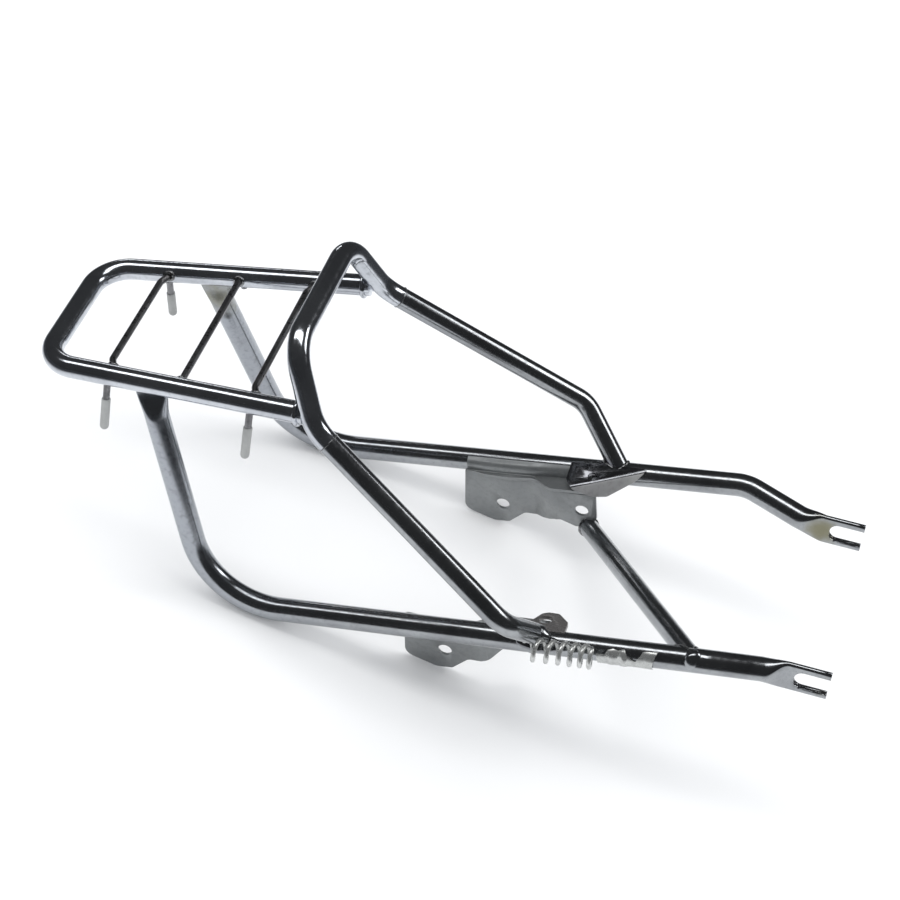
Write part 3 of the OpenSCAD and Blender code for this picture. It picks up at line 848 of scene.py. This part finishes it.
def saddle_section(x, side):
    """The saddle's closed outline in y and z: up the plate's inner face and round the rail."""
    top = SADDLE_TOP[side]
    crease = between(SADDLE_CREASE, x)
    swell = between(SADDLE_SWELL, x) if side > 0 else 0
    out = []
    for k in range(9):
        q = top - (top + SADDLE_LOW) * k / 8
        r = RAIL_R + 0.1 + (1.2 + swell) * ease(min(1, k / 4))
        out.append((RAIL_Y - r * math.cos(q), r * math.sin(q)))
    face = PLATE_OUT - PLATE_T + joggle(x)
    out += [(face - 1.5 * swell, crease * 0.4 + 1), (face - 1.4 * swell, crease + 1.6),
            (face - 0.6 * swell, crease + 0.2), (face + 0.1, crease), (face + 1.2, crease - 0.5),
            (face + PLATE_T + 0.1, min(-3, crease + 2)), (RAIL_Y - RAIL_R, -2.5)]
    inside = RAIL_R - 0.3
    out += [(RAIL_Y - inside * math.cos(q), inside * math.sin(q)) for q in (0.1, top)]
    return [sided_point((x, y, z), side) for y, z in out]


def make_bracket(side):
    """A stepped plate with two bolt holes, and the saddle that joins it to the rail."""
    name = "bracket_" + side_name(side)
    xs = [150] + list(range(STEP_X[0] - 4, STEP_X[1] + 5)) + [300]
    plan = [(x, joggle(x)) for x in xs] + [(x, joggle(x) - PLATE_T) for x in reversed(xs)]

    def plan_point(x, y, h):
        return sided_point((x, PLATE_OUT + y, h), side)

    def side_point(x, z, h):
        return sided_point((x, h, z), side)

    plate = prism(name + "_plate", plan, plan_point, -75, 30)
    boolean(plate, prism("outline", rounded(BRACKET_OUTLINE), side_point, 40, 120), "INTERSECT")
    for hole in (HOLE_MAIN, HOLE_TONGUE):
        boolean(plate, prism("hole", circle(*hole, HOLE_R), side_point, 40, 120))
    soften(plate, 0.5)
    steps = 48
    length = SADDLE_END[side] - SADDLE_START
    sections = [saddle_section(SADDLE_START + length * k / steps, side) for k in range(steps + 1)]
    finish(loft(name + "_saddle", sections), PLATE, "bracket_plate", name)
    return finish(plate, PLATE, "bracket_plate", name)


# ---- lugs: x and the distance inwards from the hinge line on the rail's top, corner radius ----
LUG_RIGHT = ((267, -1, 1), (267, 9, 2), (279, 11, 4), (285, 23, 4), (290, 25.5, 3),
             (299, 25, 4), (309, 14, 3), (310, -1, 1))
LUG_LEFT = ((265, -1, 1), (264, 17, 6), (271, 27, 8), (290, 30.5, 12),
            (302, 28.5, 6), (324, 12, 20), (334, -1, 2))
LUG_HOLE_RIGHT = (290, 14.5, 5.5)
LUG_HOLE_LEFT = (286.5, 12, 4.0)
LUG_FOLD_REAR = (266, 27)
LUG_FOLD_FRONT = (334, 2)
LUG_FOLD = math.radians(40)
LUG_FOLD_W = 5.0
LUG_FOLD_STEPS = 6
# nearer than this, in metres, a vertex lies on the fold's own line
ON_LINE = 1e-7


def make_lug(side):
    """A plate with one hole on the rail's top; the left one's inner part is folded down."""
    hinge = Vector((0, RAIL_Y - 4, RAIL_R + 0.5))
    inward = Vector((0, -math.cos(LUG_TILT), -math.sin(LUG_TILT)))
    up = Vector((0, -math.sin(LUG_TILT), math.cos(LUG_TILT)))

    def lug_point(x, y, h):
        return sided_point(hinge + Vector((x, 0, 0)) + inward * y + up * h, side)

    name = "stay_lug_" + side_name(side)
    outline = rounded(LUG_LEFT if side > 0 else LUG_RIGHT)
    lug = prism(name + "_plate", outline, lug_point, -LUG_T, 0)
    hole = circle(*(LUG_HOLE_LEFT if side > 0 else LUG_HOLE_RIGHT))
    boolean(lug, prism("hole", hole, lug_point, -LUG_T - PAST_FACE, PAST_FACE))
    soften(lug, 1.2, 4)
    if side < 0:
        return finish(lug, LUG, "plated_plate", name)
    rear, front = (place(lug_point(*p, 0)) for p in (LUG_FOLD_REAR, LUG_FOLD_FRONT))
    folded = fold_down(lug, rear, front, TURN @ up, TURN @ inward)
    finish(lug, LUG_DARK, "plated_plate", name)
    # the folded faces take the lighter copy, painted light on that face; the flat part keeps the darker
    # plating
    lug.data.materials.append(LUG_PAINTED_LIT)
    for face in lug.data.polygons:
        face.material_index = int((face.center - rear).dot(folded) > 0)
    shade(lug.data, 50)
    return lug


def fold_down(obj, a, b, up, inward):
    """Turns the part of a plate that lies inwards of the line a-b down about that line.

    Returns the direction in the plate that points away from the line, over the folded part.
    """
    side = (b - a).normalized().cross(up)
    if side.dot(inward) < 0:
        side = -side
    bm = bmesh.new()
    bm.from_mesh(obj.data)
    width = LUG_FOLD_W * MM
    for k in range(LUG_FOLD_STEPS + 1):
        geometry = bm.verts[:] + bm.edges[:] + bm.faces[:]
        bmesh.ops.bisect_plane(bm, geom=geometry, dist=ON_LINE, plane_no=side,
                               plane_co=a + side * (width * (k / LUG_FOLD_STEPS - 0.5)))
    radius = width / LUG_FOLD
    start = a - side * width / 2
    for v in bm.verts:
        s = (v.co - start).dot(side)
        h = (v.co - start).dot(up)
        if s <= ON_LINE:
            continue
        q = min(s, width) / radius
        rest = max(0.0, s - width)
        base = v.co - side * s - up * h
        v.co = (base + side * ((radius + h) * math.sin(q) + rest * math.cos(q))
                + up * ((radius + h) * math.cos(q) - radius - rest * math.sin(q)))
    bm.to_mesh(obj.data)
    bm.free()
    return side


def make_brace():
    """The tube from the left bracket's tongue to the right rail, welded at both ends."""
    d = (BRACE_FOOT - BRACE_TOP).normalized()
    list_ = [(BRACE_TOP, d, BRACE_R, BRACE_R)] + dome(BRACE_FOOT, d, BRACE_R, BRACE_CAP, 9, 0.2)
    foot = meeting_loop(BRACE_TOP, d, BRACE_R - 0.3, flip(CORNER), RAIL_DIR, RAIL_R)
    weld("brace_foot_weld", "cross_brace", foot, d, 1.2)
    top = circle_loop(BRACE_TOP + d * 1.5, d, BRACE_R - 0.2)
    weld("brace_top_weld", "cross_brace", top, d, 1.4)
    tube = sweep("cross_brace_tube", fill(list_), (0, 0, 1))
    return finish(tube, CHROME, "plated_tube", "cross_brace")


SPRING_START = Vector((281 + WIRE_R, -RAIL_Y - 18.4, 9.6))


def spring_point(t):
    """A point of the coil, t from 0 to 1; the turns stand closer towards the front."""
    a = 2 * math.pi * SPRING_TURNS * t
    r = SPRING_R - WIRE_R
    along = (1.25 * t - 0.25 * t * t) * (SPRING_LEN - 2 * WIRE_R)
    return SPRING_START + Vector((along, r * math.sin(a), r * math.cos(a)))


def make_spring():
    """The wire coil beside the right rail."""
    n = SPRING_TURNS * 48
    step = 0.001
    list_ = []
    for k in range(n + 1):
        t = k / n
        d = (spring_point(t + step) - spring_point(t - step)).normalized()
        list_.append((spring_point(t), d, WIRE_R, WIRE_R))
    wire = sweep("coil_spring_wire", list_, (1, 0, 0), 20)
    return finish(wire, ZINC, "spring_wire", "coil_spring")


# ---- clip: its upper edge, in degrees round the rail, and how far its pleats stand off, by x ----
CLIP_TOP = ((339, 25), (345.5, 26), (348.6, 48), (352.5, 53), (357, 49), (360.8, 56), (364.2, 26),
            (370.6, 9), (374, 31), (377, 56), (383.5, 61))
CLIP_LIFT = ((339, 0.2), (346, 0.3), (350, 1.6), (356, 0.9), (360.5, 2.6), (364, 0.5), (371, 0.2),
             (376, 0.6), (383.5, 1.6))
CLIP_BOTTOM = -48
CLIP_CURL_X = 379
CLIP_CURL = 5
CLIP_T = 0.9


def clip_point(x, t):
    """A point of the clip, t from 0 at its lower edge to 1 at its upper one."""
    q = math.radians(CLIP_BOTTOM + (between(CLIP_TOP, x) - CLIP_BOTTOM) * t)
    bulge = (0.35 + 0.65 * t) * math.sin(math.pi * min(1, 0.15 + t * 0.85)) ** 0.5
    r = RAIL_R + 0.7 + between(CLIP_LIFT, x) * bulge
    curl = CLIP_CURL * max(0.0, (x - CLIP_CURL_X) / (CLIP_TOP[-1][0] - CLIP_CURL_X)) * t ** 2
    return Vector((x + curl, -RAIL_Y - r * math.cos(q), r * math.sin(q)))


def make_clip():
    """Thin sheet round the rail's outer side, with a folded pleat and a curled front corner."""
    start, end = CLIP_TOP[0][0], CLIP_TOP[-1][0]
    across_n, up_n = 120, 16
    rows = [[clip_point(start + (end - start) * k / across_n, m / up_n) for m in range(up_n + 1)]
            for k in range(across_n + 1)]
    return finish(sheet("spring_clip_sheet", rows, CLIP_T), ZINC, "spring_wire", "spring_clip")


for side in SIDES:
    make_rail(side)
    make_stay(side)
    make_bracket(side)
    make_lug(side)
make_deck()
make_hoop()
make_brace()
make_spring()
for i, end in enumerate(ROD_NAMES):
    make_rod(i, "cross_rod_" + end)
for i, end in enumerate(ROD_NAMES):
    if i != ROD_MIDDLE:
        for side in SIDES:
            make_sleeve(i, side, "peg_sleeve_%s_%s" % (end, side_name(side)))
make_clip()


# ---- floor, light and camera, all in the row frame, m ----
FLOOR_HALF = 12.0
SHEET_R = 0.42
SHEET_FADE = 0.35
FLOOR_PALE = (0.9, 0.9, 0.898)
FLOOR_DARK = (0.05, 0.052, 0.056)
WORLD_PALE = 0.93
WORLD_FILL = 0.88
WORLD_REFLECTED = 0.045


def make_floor():
    """Pale all over; in the metal's reflections it darkens beyond a pale sheet's edge."""
    bm = bmesh.new()
    corners = ((-1, -1), (1, -1), (1, 1), (-1, 1))
    bm.faces.new([bm.verts.new((x * FLOOR_HALF, y * FLOOR_HALF, 0)) for x, y in corners])
    floor = new_object("floor", bm)
    mat, nt, bsdf = new_material("floor")
    bsdf.inputs["Roughness"].default_value = 0.9
    bsdf.inputs["Specular IOR Level"].default_value = 0.1
    away = nt.nodes.new("ShaderNodeVectorMath")
    away.operation = "LENGTH"
    nt.links.new(object_point(nt), away.inputs[0])
    edge = span(nt, away.outputs["Value"], SHEET_R, SHEET_R + SHEET_FADE)
    reflected = nt.nodes.new("ShaderNodeLightPath").outputs["Is Glossy Ray"]
    colour = mix(nt, times(nt, edge, reflected), FLOOR_PALE, FLOOR_DARK)
    nt.links.new(colour, bsdf.inputs["Base Color"])
    floor.data.materials.append(mat)


def area_light(name, at, target, size, size_y, radiance):
    """A soft box; its long side, size, lies as level as the aim allows."""
    light = bpy.data.lights.new(name, "AREA")
    light.shape = "RECTANGLE"
    light.size = size
    light.size_y = size_y
    light.energy = radiance * math.pi * size * size_y
    obj = bpy.data.objects.new(name, light)
    obj.location = at
    obj.rotation_euler = (Vector(target) - Vector(at)).to_track_quat("-Z", "Y").to_euler()
    obj.visible_camera = False
    bpy.context.scene.collection.objects.link(obj)


def make_world():
    """Pale to the camera, dark in the metal's reflections, and a soft fill for matt surfaces."""
    world = bpy.data.worlds.new("studio")
    world.use_nodes = True
    world.cycles.sampling_method = "NONE"
    nt = world.node_tree
    path = nt.nodes.new("ShaderNodeLightPath")

    def background(level):
        node = nt.nodes.new("ShaderNodeBackground")
        node.inputs["Color"].default_value = (level, level * 1.02, level * 1.05, 1)
        return node.outputs[0]

    def choose(ray, no, yes):
        node = nt.nodes.new("ShaderNodeMixShader")
        nt.links.new(path.outputs[ray], node.inputs[0])
        nt.links.new(no, node.inputs[1])
        nt.links.new(yes, node.inputs[2])
        return node.outputs[0]

    seen = choose("Is Glossy Ray", background(WORLD_FILL), background(WORLD_REFLECTED))
    seen = choose("Is Camera Ray", seen, background(WORLD_PALE))
    nt.links.new(seen, nt.nodes["World Output"].inputs["Surface"])
    bpy.context.scene.world = world
    bpy.context.scene.view_settings.view_transform = "Standard"


def make_camera():
    """The photograph's view: place, line of sight and roll."""
    at = Vector((0.1201, -1.2492, 1.4489))
    sight = Vector((-0.06924, 0.69337, -0.71724))
    roll = math.radians(15.45)
    cam = bpy.data.cameras.new("camera")
    cam.sensor_width = 36
    cam.lens = 88
    obj = bpy.data.objects.new("camera", cam)
    obj.location = at
    turn = sight.to_track_quat("-Z", "Y").to_matrix()
    obj.rotation_euler = (turn @ Matrix.Rotation(roll, 3, "Z")).to_euler()
    bpy.context.scene.collection.objects.link(obj)
    bpy.context.scene.camera = obj


make_floor()
area_light("overhead", at=(-0.9, 0.1, 1.9), target=(-0.9, 0.1, 0), size=2.8, size_y=0.6, radiance=3.3)
area_light("front", at=(1.5, 0.9, 1.4), target=(0, 0, 0.1), size=0.9, size_y=0.6, radiance=4.0)
area_light("low", at=(-1.25, 1.95, 0.45), target=(0.1, 0, 0.1), size=0.5, size_y=0.22, radiance=3.0)
make_world()
make_camera()
